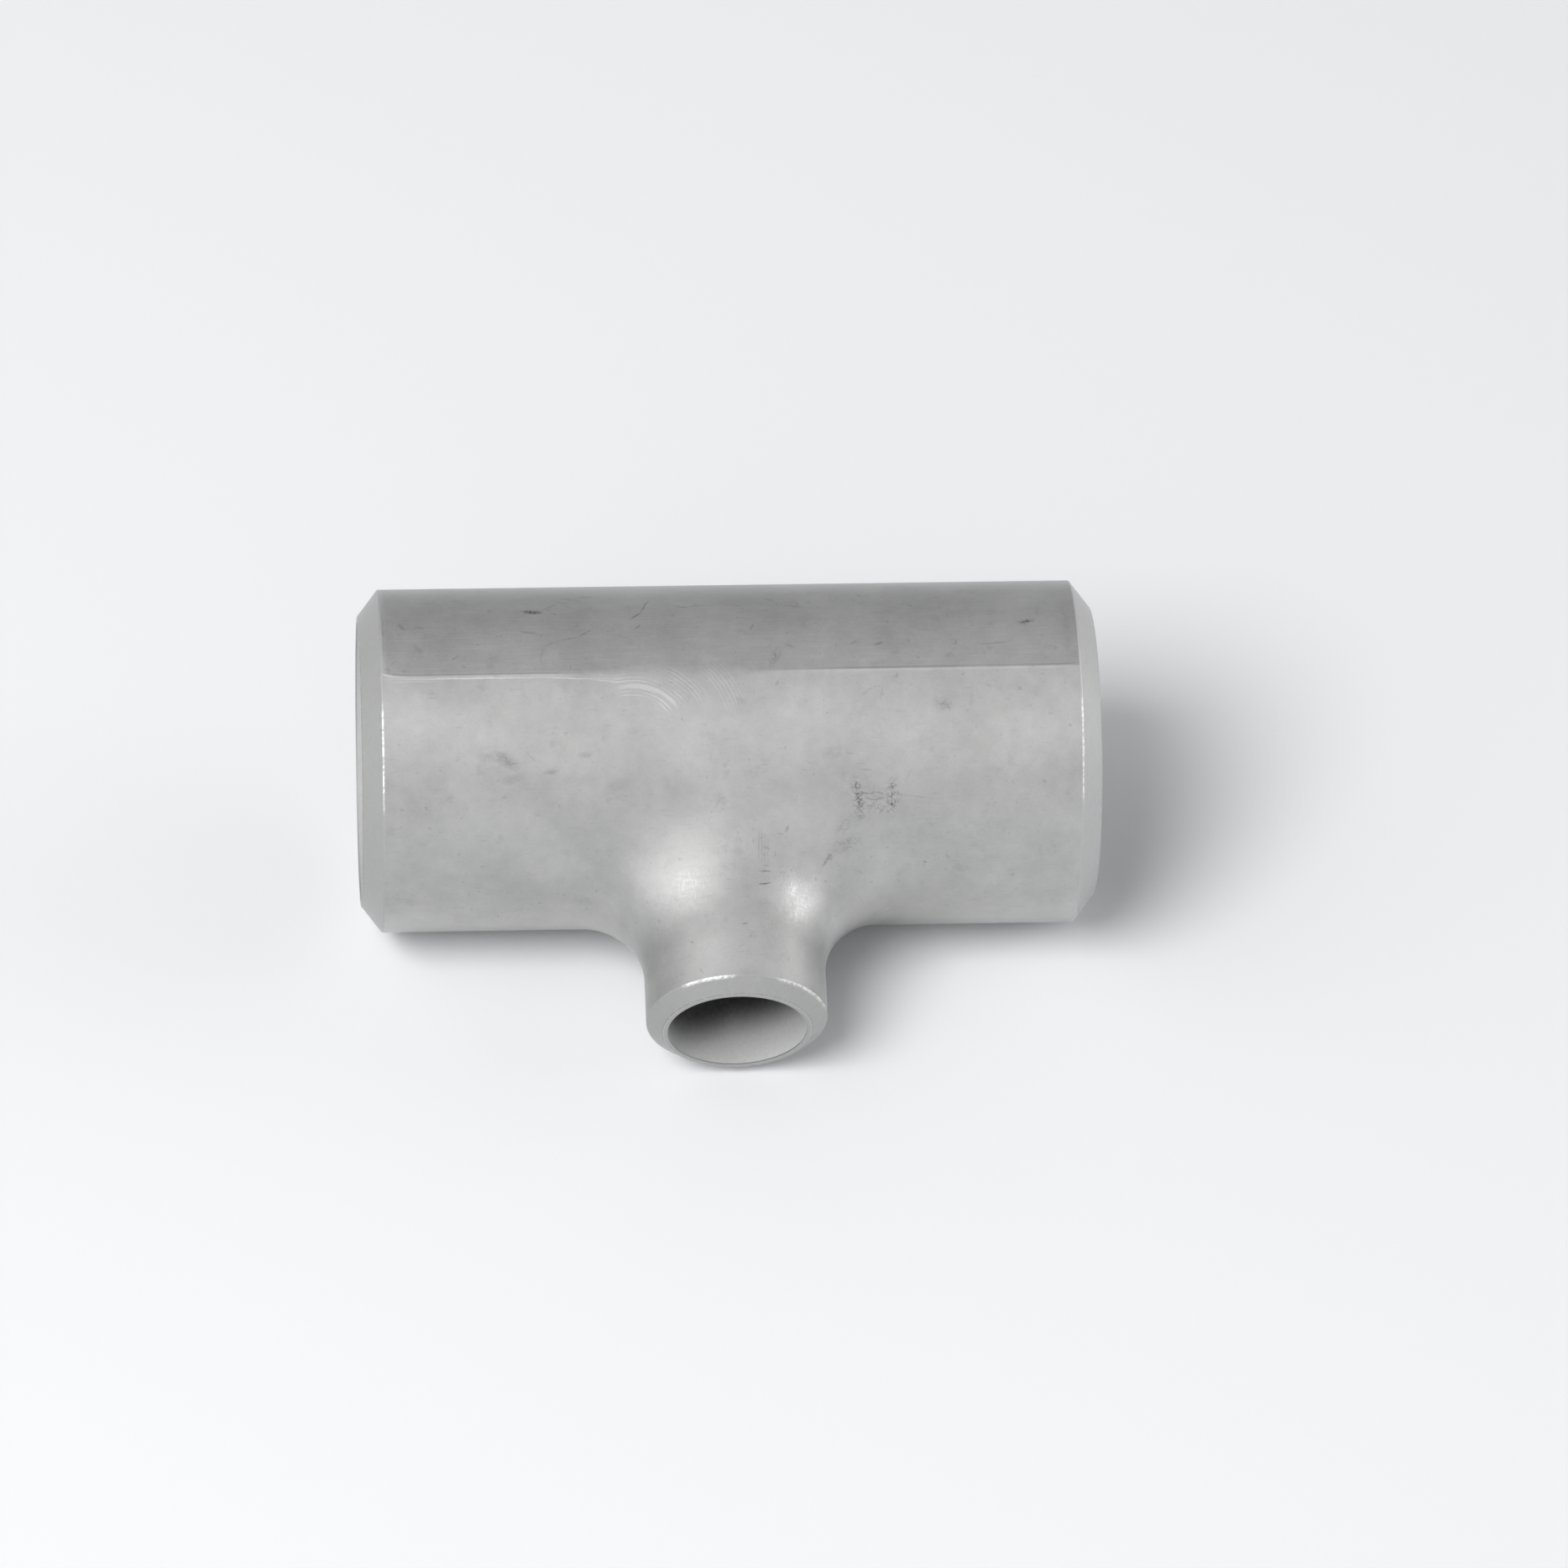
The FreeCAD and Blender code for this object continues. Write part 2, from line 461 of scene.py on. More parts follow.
class Nodes:
    """A node tree, with short calls for the sums that a finish is made of."""

    def __init__(self, tree):
        self.tree = tree

    def feed(self, socket, value):
        """Gives an input a value, or links it to another node's output."""
        if isinstance(value, bpy.types.NodeSocket):
            self.tree.links.new(value, socket)
        else:
            socket.default_value = value

    def node(self, kind, values=None, **settings):
        """Adds a node with its settings and its input values."""
        node = self.tree.nodes.new(kind)
        for key, value in settings.items():
            setattr(node, key, value)
        for key, value in (values or {}).items():
            self.feed(node.inputs[key], value)
        return node

    def math(self, operation, *values, clamp=False):
        """One step of arithmetic."""
        values = dict(enumerate(values))
        return self.node("ShaderNodeMath", values, operation=operation, use_clamp=clamp).outputs[0]

    def vector(self, operation, *values):
        """One step of arithmetic on places."""
        values = dict(enumerate(values))
        return self.node("ShaderNodeVectorMath", values, operation=operation).outputs[0]

    def times(self, first, second):
        """A product."""
        return self.math("MULTIPLY", first, second)

    def plus(self, total, value, share=1.0):
        """A total with a share of a value added."""
        return self.math("MULTIPLY_ADD", value, share, total)

    def ramp(self, value, start, stop, low=0.0, high=1.0, kind="LINEAR"):
        """The low value before the start, the high one after the stop, and a change between."""
        values = {"Value": value, "From Min": start, "From Max": stop, "To Min": low, "To Max": high}
        return self.node("ShaderNodeMapRange", values, interpolation_type=kind).outputs["Result"]

    def ease(self, value, start, stop):
        """0 before the start, 1 after the stop, and a smooth change between."""
        return self.ramp(value, start, stop, kind="SMOOTHSTEP")

    def window(self, value, low, high, soft):
        """1 between two values and 0 outside them, with a smooth change at both."""
        rise = self.ease(value, low - soft, low + soft)
        return self.times(rise, self.ease(value, high + soft, high - soft))

    def select(self, share, low, high):
        """The low value where the share is 0 and the high one where it is 1."""
        return self.plus(low, share, self.math("SUBTRACT", high, low))

    def mix(self, share, start, stop):
        """A colour between two colours."""
        node = self.node("ShaderNodeMix", data_type="RGBA")
        sockets = {entry.identifier: entry for entry in (*node.inputs, *node.outputs)}
        for key, value in (("Factor_Float", share), ("A_Color", start), ("B_Color", stop)):
            self.feed(sockets[key], value)
        return sockets["Result_Color"]

    def tone(self, colour, factor):
        """A colour made lighter or darker by a factor."""
        values = {0: colour, "Scale": factor}
        return self.node("ShaderNodeVectorMath", values, operation="SCALE").outputs[0]

    def parts(self, place):
        """X, Y and Z of a place."""
        return self.node("ShaderNodeSeparateXYZ", {0: place}).outputs

    def flat(self, first, second):
        """A place on a flat sheet from two values."""
        return self.node("ShaderNodeCombineXYZ", {"X": first, "Y": second}).outputs[0]

    def reach(self, place, kept=None):
        """Length of a place, counting only the directions that are kept where they are given."""
        if kept:
            place = self.vector("MULTIPLY", place, kept)
        return self.node("ShaderNodeVectorMath", {0: place}, operation="LENGTH").outputs["Value"]


class Finish(Nodes):
    """A new material for the fitting or the floor. Its places are in millimetres."""

    def __init__(self, name):
        self.material = bpy.data.materials.new(name)
        self.material.use_nodes = True
        super().__init__(self.material.node_tree)
        self.shader = self.tree.nodes["Principled BSDF"]

    def set(self, **inputs):
        """Sets or links the shader's own inputs, named with _ for a space."""
        for key, value in inputs.items():
            self.feed(self.shader.inputs[key.replace("_", " ")], value)

    def millimetres(self):
        """Place on the fitting as it stands with its outlet up."""
        values = {"Vector": self.node("ShaderNodeTexCoord").outputs["Object"], "Angle": -lying_turn}
        stood = self.node("ShaderNodeVectorRotate", values, rotation_type="X_AXIS").outputs[0]
        return self.vector("MULTIPLY", stood, (1 / MM,) * 3)

    def unrolled(self, place, radius):
        """Place on the run's wall laid flat: along the run, and round it from the outlet's side."""
        parts = self.parts(place)
        around = self.times(self.math("ARCTAN2", parts["Y"], parts["Z"]), radius)
        return self.flat(parts["X"], around)

    def upright(self, place):
        """Place on the outlet seen from its side: along the run, and up the outlet."""
        parts = self.parts(place)
        return self.flat(parts["X"], parts["Z"])

    def layer(self, place, layer):
        """A layer of noise from 0 to 1, brought up between its two levels if it has them."""
        values = {"Vector": place, "Scale": layer.scale, "Detail": layer.detail,
                  "Roughness": layer.roughness}
        if isinstance(layer.scale, tuple):
            values["Vector"] = self.vector("MULTIPLY", place, layer.scale)
            values["Scale"] = 1.0
        noise = self.node("ShaderNodeTexNoise", values).outputs["Fac"]
        return self.ease(noise, *layer.levels) if layer.levels else noise

    def wobble(self, place, scale, reach):
        """A place moved about unevenly, by up to half the reach."""
        values = {"Vector": place, "Scale": scale, "Detail": WOBBLE_DETAIL}
        noise = self.node("ShaderNodeTexNoise", values).outputs["Color"]
        centred = self.vector("SUBTRACT", noise, (0.5, 0.5, 0.5))
        return self.vector("MULTIPLY_ADD", centred, (reach, reach, 0), place)

    def marks(self, sheet, marks, unit):
        """All marks of a list together: the depth in the middle of each, and 0 between them."""
        total = 0.0
        for mark in marks:
            ends = [Vector((along, around * unit, 0)) for along, around in mark[:2]]
            across = ends[1] - ends[0]
            values = {
                "Vector": sheet,
                "Location": (ends[0] + ends[1]) / 2,
                "Rotation": (0, 0, math.atan2(across.y, across.x)),
                "Scale": ((across.length + mark.width) / 2, mark.width / 2, 1),
            }
            local = self.node("ShaderNodeMapping", values, vector_type="TEXTURE").outputs[0]
            depth = self.ramp(self.reach(local), *MARK_EDGE, mark.depth, 0.0)
            total = self.math("MAXIMUM", depth, total)
        return total

    def scribble(self, sheet):
        """Thin curly lines, 1 on each line and 0 between them."""
        level = self.math("SUBTRACT", self.layer(sheet, CURLS), 0.5)
        return self.ease(self.math("ABSOLUTE", level), *CURL_EDGE)

    def bump(self, height):
        """Surface tilt from a height in millimetres."""
        return self.node("ShaderNodeBump", {"Height": height, "Distance": MM}).outputs["Normal"]


def opaque(colour):
    """A colour property with full opacity, as a shader socket takes it."""
    return (*colour, 1.0)


# A scratch or stain on the run's wall, from one place to another, each given as millimetres
# along the run and degrees about it from the outlet's side. Width in millimetres.
Mark = namedtuple("Mark", "start stop width depth")

# Nick, scribbles and short strokes on the dull back half, and a few just in front of its edge
BACK_MARKS = (
    Mark((-35.2, 117.8), (-33.0, 117.4), 1.3, 0.50),
    Mark((-32.4, 118.6), (-29.4, 124.0), 0.4, 0.20),
    Mark((-29.8, 124.8), (-27.3, 123.4), 0.5, 0.28),
    Mark((-29.4, 127.4), (-26.8, 126.4), 0.4, 0.22),
    Mark((-28.9, 123.0), (-27.2, 119.6), 0.4, 0.22),
    Mark((-25.6, 128.7), (-23.4, 129.1), 0.7, 0.32),
    Mark((-30.9, 117.2), (-29.9, 115.6), 0.4, 0.25),
    Mark((-13.8, 124.7), (-15.3, 116.6), 0.5, 0.36),
    Mark((-15.3, 116.4), (-17.2, 112.6), 0.5, 0.40),
    Mark((-15.6, 109.5), (-16.5, 107.2), 0.5, 0.30),
    Mark((-9.2, 120.6), (-6.9, 119.2), 0.5, 0.34),
    Mark((-6.9, 119.6), (-4.6, 120.8), 0.4, 0.18),
    Mark((-36.3, 106.9), (-33.9, 106.2), 0.6, 0.30),
    Mark((-29.8, 102.6), (-26.2, 104.2), 0.4, 0.16),
    Mark((-26.2, 104.2), (-24.0, 107.4), 0.5, 0.22),
    Mark((-30.4, 101.9), (-32.4, 99.9), 0.4, 0.16),
    Mark((-32.7, 99.4), (-33.2, 92.6), 0.4, 0.12),
    Mark((-57.4, 111.2), (-57.0, 109.4), 1.2, 0.17),
    Mark((-54.3, 110.0), (-53.5, 109.4), 0.8, 0.15),
    Mark((-54.9, 101.0), (-54.0, 98.6), 1.1, 0.12),
    Mark((4.2, 109.2), (3.7, 106.5), 0.5, 0.24),
    Mark((6.7, 125.2), (8.2, 123.4), 0.5, 0.20),
    Mark((10.1, 119.8), (12.6, 118.9), 0.5, 0.22),
    Mark((12.0, 122.0), (12.5, 118.4), 0.4, 0.22),
    Mark((7.4, 91.0), (7.8, 96.9), 0.4, 0.14),
    Mark((9.6, 99.8), (11.3, 98.2), 0.5, 0.20),
    Mark((21.1, 99.3), (21.8, 100.5), 0.6, 0.20),
    Mark((25.3, 98.8), (26.3, 99.6), 0.7, 0.24),
    Mark((23.1, 127.0), (23.4, 125.8), 0.8, 0.24),
    Mark((42.4, 98.1), (49.2, 99.4), 0.5, 0.17),
    Mark((51.2, 108.4), (52.9, 109.3), 1.0, 0.36),
    Mark((22.7, 79.5), (23.9, 82.0), 0.5, 0.12),
    Mark((23.9, 82.0), (26.3, 82.8), 0.4, 0.12),
    Mark((26.2, 82.7), (25.6, 78.0), 0.4, 0.12),
    Mark((36.0, 76.4), (37.6, 75.2), 1.8, 0.11),
    Mark((1.0, 78.7), (2.2, 77.8), 1.0, 0.12),
    Mark((44.1, 82.8), (44.9, 82.2), 0.8, 0.12),
    Mark((58.9, 92.5), (58.9, 117.0), 1.7, 0.08),
    Mark((-60.4, 96.0), (-60.4, 125.0), 0.4, 0.18),
)

# Where thin curly lines lie round the marks of the back half
BACK_SCRIBBLES = (
    Mark((-36.0, 118.0), (-33.0, 117.4), 1.8, 0.34),
    Mark((36.0, 76.4), (37.6, 75.2), 2.6, 0.16),
    Mark((51.0, 108.3), (53.0, 109.3), 1.8, 0.26),
    Mark((6.9, 91.0), (8.4, 97.5), 1.6, 0.20),
)

# Two short rows of dark strokes joined by thin lines, their tails, and what lies round them
FRONT_MARKS = (
    Mark((21.0, 50.0), (21.3, 46.6), 0.55, 0.20),
    Mark((21.2, 47.2), (21.6, 43.2), 0.75, 0.28),
    Mark((21.6, 43.7), (22.1, 39.9), 0.45, 0.22),
    Mark((27.2, 49.6), (27.5, 47.6), 0.5, 0.20),
    Mark((27.8, 47.8), (27.3, 45.6), 0.5, 0.20),
    Mark((27.2, 45.0), (27.3, 42.1), 0.5, 0.24),
    Mark((21.8, 46.9), (23.5, 46.3), 0.4, 0.26),
    Mark((23.5, 46.3), (24.7, 47.1), 0.4, 0.24),
    Mark((24.7, 47.1), (25.9, 46.2), 0.4, 0.24),
    Mark((22.6, 45.1), (24.4, 44.2), 0.4, 0.22),
    Mark((24.4, 44.2), (26.3, 45.0), 0.4, 0.22),
    Mark((28.5, 45.8), (30.0, 45.8), 0.35, 0.20),
    Mark((30.0, 45.8), (34.0, 44.5), 0.3, 0.15),
    Mark((29.8, 50.3), (30.7, 54.2), 0.5, 0.10),
    Mark((21.6, 54.7), (24.0, 54.4), 0.3, 0.16),
    Mark((19.6, 60.3), (21.1, 59.5), 0.4, 0.12),
    Mark((12.0, 57.8), (13.6, 56.9), 0.6, 0.09),
    Mark((33.2, 20.9), (33.6, 20.6), 0.5, 0.36),
    Mark((36.9, 24.0), (37.5, 22.2), 0.5, 0.15),
    Mark((39.0, 17.8), (40.8, 17.4), 2.0, 0.09),
    Mark((-40.9, 60.8), (-38.3, 57.8), 2.4, 0.20),
    Mark((-44.2, 60.7), (-41.0, 60.0), 1.6, 0.12),
    Mark((-39.6, 52.2), (-37.2, 53.8), 1.9, 0.17),
    Mark((-36.4, 62.5), (-34.2, 58.2), 0.3, 0.14),
    Mark((-26.6, 60.5), (-24.9, 60.8), 1.2, 0.18),
    Mark((-32.8, 54.9), (-30.7, 55.4), 0.9, 0.20),
    Mark((-21.9, 49.2), (-19.4, 51.0), 2.4, 0.13),
)

# Where thin curly lines lie round those strokes
FRONT_SCRIBBLES = (
    Mark((21.0, 50.5), (22.0, 39.5), 2.4, 0.44),
    Mark((27.6, 50.0), (27.4, 41.5), 2.8, 0.42),
    Mark((22.7, 41.7), (28.0, 41.5), 2.2, 0.22),
    Mark((20.8, 38.0), (18.0, 35.0), 2.2, 0.14),
    Mark((23.5, 47.0), (26.0, 44.0), 3.4, 0.10),
    Mark((-41.0, 60.5), (-38.5, 58.0), 3.0, 0.10),
)

# Ticks, fine lines, and a wide soft darker patch right of the outlet's middle, on the neck.
# Here both numbers of a place are millimetres: along the run, and up the outlet.
NECK_MARKS = (
    Mark((4.1, 32.7), (6.2, 32.5), 0.32, 0.42),
    Mark((3.9, 35.1), (6.1, 34.5), 0.36, 0.46),
    Mark((0.7, 42.9), (1.6, 42.8), 0.36, 0.28),
    Mark((4.9, 31.6), (5.8, 31.6), 0.3, 0.26),
    Mark((5.1, 28.7), (5.9, 28.8), 0.5, 0.26),
    Mark((4.3, 27.1), (4.9, 27.1), 0.36, 0.22),
    Mark((-0.1, 47.4), (0.9, 47.2), 0.3, 0.14),
    Mark((-8.1, 45.1), (-7.8, 45.4), 0.5, 0.20),
    Mark((4.2, 25.4), (4.0, 31.6), 0.28, 0.16),
    Mark((4.7, 25.4), (4.5, 32.4), 0.28, 0.18),
    Mark((5.2, 26.0), (5.0, 32.4), 0.28, 0.16),
    Mark((5.7, 27.3), (5.6, 31.4), 0.28, 0.12),
    Mark((7.0, 29.1), (6.8, 30.1), 0.3, 0.20),
    Mark((9.3, 25.2), (8.9, 25.9), 0.6, 0.24),
    Mark((7.2, 26.3), (8.4, 26.4), 0.3, 0.24),
    Mark((17.3, 28.0), (15.2, 30.5), 0.45, 0.18),
    Mark((17.6, 27.5), (21.8, 26.2), 1.5, 0.07),
    # A wide soft darker patch down the outlet, right of its middle
    Mark((6.2, 42.0), (6.2, 48.5), 5.5, 0.09),
)

# Where thin curly lines lie on the neck
NECK_SCRIBBLES = (
    Mark((17.0, 27.6), (21.5, 26.4), 2.6, 0.16),
    Mark((15.4, 30.2), (17.5, 27.6), 1.2, 0.20),
    Mark((18.0, 25.2), (20.4, 24.2), 1.6, 0.14),
)

# The bright line under the left part of the die ridge, where it splits, and one at the right:
# partly lighter steel, partly a painted glint along the ridge's lower edge
BRIGHT_LINES_AND_RIDGE_GLINT = (
    Mark((-60.2, 87.5), (-30.0, 87.5), 0.34, 0.40),
    Mark((-60.0, 86.5), (-50.0, 86.7), 0.30, 0.16),
    Mark((-33.0, 87.5), (-24.0, 86.7), 0.30, 0.34),
    Mark((-25.5, 86.8), (-18.0, 85.0), 0.30, 0.26),
    Mark((-30.0, 87.4), (-18.0, 86.4), 0.28, 0.16),
    Mark((36.0, 89.6), (59.4, 89.8), 0.30, 0.20),
)

# How unevenly the marks lie, as cycles a millimetre and a reach in millimetres
WOBBLE_DETAIL = 3.0
MARK_WOBBLE = (0.9, 0.5)
SCRIBBLE_WOBBLE = (0.4, 1.2)
BRIGHT_WOBBLE = (0.35, 0.25)

# Where a mark fades, in half widths of it, and where a curly line comes up, in levels of noise
MARK_EDGE = (0.4, 1.15)
CURL_EDGE = (0.055, 0.012)

# Share of its depth that a mark has where it is broken, and where it isn't
DARK_BREAKS = (0.4, 1.1)
BRIGHT_BREAKS = (0.5, 1.1)

# A layer of noise: cycles a millimetre, or one number for each direction, its detail and
# roughness, the levels between which it comes up, and how much lighter it makes the steel
Layer = namedtuple("Layer", "scale detail roughness levels tone", defaults=(None, 0))
CLOUDS = Layer(0.07, 4.0, 0.60, None, 0.50)
MOTTLE = Layer(0.42, 5.0, 0.62, None, 0.22)
GRAIN = Layer(2.2, 3.0, 0.60, None, 0.14)
STAINS = Layer(0.20, 5.0, 0.68, (0.56, 0.74), -0.13)
STREAKS = Layer((0.3, 2.2, 1), 4.0, 0.50, (0.60, 0.74), -0.10)
PITS = Layer(0.85, 1.0, 0.50, (0.70, 0.78), -0.14)
BRUSHED = Layer((0.1, 3.5, 1), 3.0, 0.50, (0.52, 0.72), 0.09)
BROKEN = Layer(2.3, 3.0, 0.50, (0.25, 0.62))
CURLS = Layer(0.9, 3.0, 0.60)
TURNED_MOTTLE = Layer(0.9, 5.0, 0.65, None, 0.20)
TURNED_GRAIN = Layer(3.0, 3.0, 0.50, None, 0.08)
TURNING = Layer(3.0, 4.0, 0.50, None, 0.08)
SPECKS = Layer(1.4, 1.0, 0.50, (0.72, 0.80), -0.20)
NICKED = Layer(1.7, 3.0, 0.50, (0.36, 0.60))
BORE_GRAIN = Layer(1.8, 5.0, 0.65, None, 0.24)

# Tone of the steel before its layers: pickled, and turned at the right, the left and the outlet.
# The turned tones are painted light and shade: the right bevel lighter, the left bevel and the
# outlet's bevel darker.
PICKLED_TONE = 0.58
TURNED_LIT_AND_SHADED_TONES = (0.93, 0.84, 0.76)

# How far the roughness follows the mottle, and how much rougher the bevels and the outlet are
MOTTLE_ROUGHNESS = 0.12
TURNED_ROUGHER = 0.10
OUTLET_ROUGHER = 0.18

# Relief in millimetres
GRAIN_HEIGHT = 0.016
POLISH_HEIGHT = 0.018
TURNED_GRAIN_HEIGHT = 0.02
BORE_GRAIN_HEIGHT = 0.06

# Heights above the run's wall, in millimetres, over which the outlet grows rougher
OUTLET_START = (6, 14)

# The neck's shoulders are rubbed smoother: their heights with a softness, and two spots along
# the run. The polish has fine scratches in two directions, and shines between two levels.
SHOULDERS = (4.5, 13, 2)
RUBBED_SPOTS = ((-14, -4), (7, 14))
SPOT_FADE = 3
POLISH_LAYERS = (Layer((0.6, 1.6, 2.6), 2.0, 0.50), Layer((2.6, 1.6, 0.6), 2.0, 0.50))
POLISH_LEVELS = (0.42, 0.62)
POLISH_GLOSS = 0.14

# Grinding marks beside the gap in the die ridge: stretches of rings about one place on the
# unrolled wall, in millimetres, with angles from straight up, and how softly they end
Grind = namedtuple("Grind", "inner outer first last tone")
GRINDS = (
    Grind(7.2, 11.4, math.radians(-14), math.radians(54), 0.34),
    Grind(12.0, 15.2, math.radians(28), math.radians(60), 0.20),
    Grind(16.2, 20.6, math.radians(46), math.radians(74), 0.14),
)
GRIND_CENTRE = (-17.5, 35.0)
GRIND_EDGE = 0.5
GRIND_FADE = math.radians(7)

# Spacing of the lines in them, how they wander and come and go, and the one clear arc
GRIND_SPACING = 0.68
GRIND_WANDER = Layer(0.5, 2.0, 0.50)
GRIND_WANDER_REACH = 3.0
GRIND_UNEVEN = Layer(1.3, 2.0, 0.50, (0.30, 0.62))
GRIND_LINE = (0.2, 0.95)
ARC_RADIUS = 9.2
ARC_EDGE = (0.22, 0.06)
ARC_TONE = 0.3

# The dull field of the back half ends this far in from the left rim, with one round corner
DULL_END_GAP = 0.55
DULL_CORNER = 1.5

# Its edge lies this far from the die ridge at the right and at the left, and shifts from one
# to the other between two places along the run
DULL_FROM_RIDGE = (-0.05, 0.25)
DULL_SHIFT = (2, -14)

# Blur of that edge in millimetres: everywhere, more away from the right end, and most where
# the ridge is ground away. Each comes up between two places along the run.
DULL_BLUR = 0.12
LEFT_BLUR = 0.4
LEFT_PART = (25, 15)
GROUND_BLUR = 1.1
GROUND_LEFT = (-24, -14)
GROUND_RIGHT = (6, -2)

# Where the dull field ends on the underside, as angles about the run
UNDERSIDE_EDGE = (-1.57, -1.58)

# Directions that count towards the distance from the run's axis, and from the outlet's
RUN_SECTION = (0, 1, 1)
OUTLET_SECTION = (1, 1, 0)

# Stretches of the outer rims whose burr carries a painted glint, as angles about each axis, and
# how bright it is: on the run at the right and at the left, and on the outlet's right stretch
RUN_BURR_GLINT = (math.radians(44), math.radians(77))
OUTLET_BURR_GLINT_LEFT = (math.radians(95), math.radians(127))
OUTLET_BURR_GLINT_RIGHT = (math.radians(15), math.radians(64))
BURR_GLINT_FADE = math.radians(4)
RUN_BURR_GLINT_SHARES = (0.5, 0.9)
RIGHT_BURR_GLINT_SHARE = 0.45

# Width of a burr's painted glint on the run and on the outlet, and of its brightest part. How
# bright it is at least on each of them, and how much brighter where it isn't broken.
BURR_GLINT_WIDTHS = (0.2, 0.5)
BURR_GLINT_FULL = 0.04
BURR_GLINT_LEAST = (0.25, 0.4)
BURR_GLINT_MORE = 1.1

# A light line round each land and a broken dark one outside it: stretches out from the land's
# edge, with a softness, and their tone
LAND_LIGHT = (-0.14, 0.02, 0.06)
LAND_LIGHT_TONE = 0.2
LAND_DARK = (0.06, 0.18, 0.05)
LAND_DARK_TONE = -0.3

# How far above the run's wall the outlet's bevel is sure to lie, in millimetres
ABOVE_RUN = 1

# The bore's painted shade: its tone deep inside and how much lighter it is at its ends; the
# heights and the places along the run between which the painted shade gives way to light, and how
# much higher that starts for each millimetre to the left, as a painted shadow of the outlet's rim
BORE_SHADE_TONE = 0.02
BORE_UNSHADED_LIFT = 0.86
OUTLET_SHADE_EDGE = (42.3, 50.7)
RUN_SHADE_EDGE = (16, 58)
SHADE_LEFT_LEAN = 0.5


def grinding(finish, wall):
    """Fine bright arcs left by a grinding wheel, near the place where the ridge is ground away."""
    offset = finish.vector("SUBTRACT", wall, (*GRIND_CENTRE, 0))
    parts = finish.parts(offset)
    distance = finish.reach(offset)
    turn = finish.math("ARCTAN2", parts["X"], parts["Y"])
    wander = finish.times(finish.layer(wall, GRIND_WANDER), GRIND_WANDER_REACH)
    wave = finish.math("SINE", finish.plus(wander, distance, math.tau / GRIND_SPACING))
    uneven = finish.layer(finish.flat(distance, turn), GRIND_UNEVEN)
    lines = finish.times(finish.ease(wave, *GRIND_LINE), uneven)
    total = 0.0
    for grind in GRINDS:
        near = finish.window(distance, grind.inner, grind.outer, GRIND_EDGE)
        within = finish.window(turn, grind.first, grind.last, GRIND_FADE)
        total = finish.plus(total, finish.times(finish.times(near, within), lines), grind.tone)
    from_arc = finish.math("ABSOLUTE", finish.math("SUBTRACT", distance, ARC_RADIUS))
    within = finish.window(turn, GRINDS[0].first, GRINDS[0].last, GRIND_FADE)
    return finish.plus(total, finish.times(finish.ease(from_arc, *ARC_EDGE), within), ARC_TONE)


def dull_share(finish, wall, sizes):
    """1 on the dull field of the back half, 0 on the lighter steel, with a blurred part between."""
    radius = sizes.run_radius / MM
    rim = (sizes.run_half_length - bevel_depth(sizes.run_radius, sizes.run_bore_radius, sizes)) / MM
    parts = finish.parts(wall)
    along = parts["X"]
    middle = radius * (math.radians(90) + RIDGE_DRIFT)
    edge = finish.plus(middle, along, radius * RIDGE_DRIFT_RATE * MM)
    edge = finish.plus(edge, finish.select(finish.ease(along, *DULL_SHIFT), *DULL_FROM_RIDGE))
    beyond = finish.math("SUBTRACT", parts["Y"], edge)
    from_end = finish.math("ADD", along, rim - DULL_END_GAP)
    short = [finish.math("MAXIMUM", finish.math("SUBTRACT", DULL_CORNER, value), 0.0)
             for value in (beyond, from_end)]
    inside = finish.math("SUBTRACT", DULL_CORNER, finish.reach(finish.flat(*short)))
    ground = finish.times(finish.ease(along, *GROUND_LEFT), finish.ease(along, *GROUND_RIGHT))
    blur = finish.plus(finish.plus(DULL_BLUR, ground, GROUND_BLUR),
                       finish.ease(along, *LEFT_PART), LEFT_BLUR)
    upper = finish.math("MULTIPLY_ADD", finish.math("DIVIDE", inside, blur), 0.5, 0.5, clamp=True)
    lower = finish.ease(parts["Y"], *(angle * radius for angle in UNDERSIDE_EDGE))
    return finish.math("MAXIMUM", upper, lower)


def neck_gloss(finish, place, sizes):
    """How much rougher the neck and the outlet are than the run, and the polish's relief."""
    above = finish.math("SUBTRACT", finish.reach(place, RUN_SECTION), sizes.run_radius / MM)
    along = finish.parts(place)["X"]
    spots = [finish.window(along, *spot, SPOT_FADE) for spot in RUBBED_SPOTS]
    rubbed = finish.times(finish.window(above, *SHOULDERS), finish.math("MAXIMUM", *spots))
    scratches = [finish.layer(place, layer) for layer in POLISH_LAYERS]
    polish = finish.times(finish.plus(*scratches), 1 / len(scratches))
    glossy = finish.times(rubbed, finish.ease(polish, *POLISH_LEVELS))
    rougher = finish.times(finish.ease(above, *OUTLET_START), OUTLET_ROUGHER)
    relief = finish.times(finish.times(polish, rubbed), POLISH_HEIGHT)
    return finish.plus(rougher, glossy, -POLISH_GLOSS), relief


def uneven_roughness(finish, settings, mottle, rougher):
    """Roughness of the steel, with its mottle and with what is added to it."""
    middle = settings.roughness - MOTTLE_ROUGHNESS / 2
    return finish.plus(finish.plus(middle, mottle, MOTTLE_ROUGHNESS), rougher)


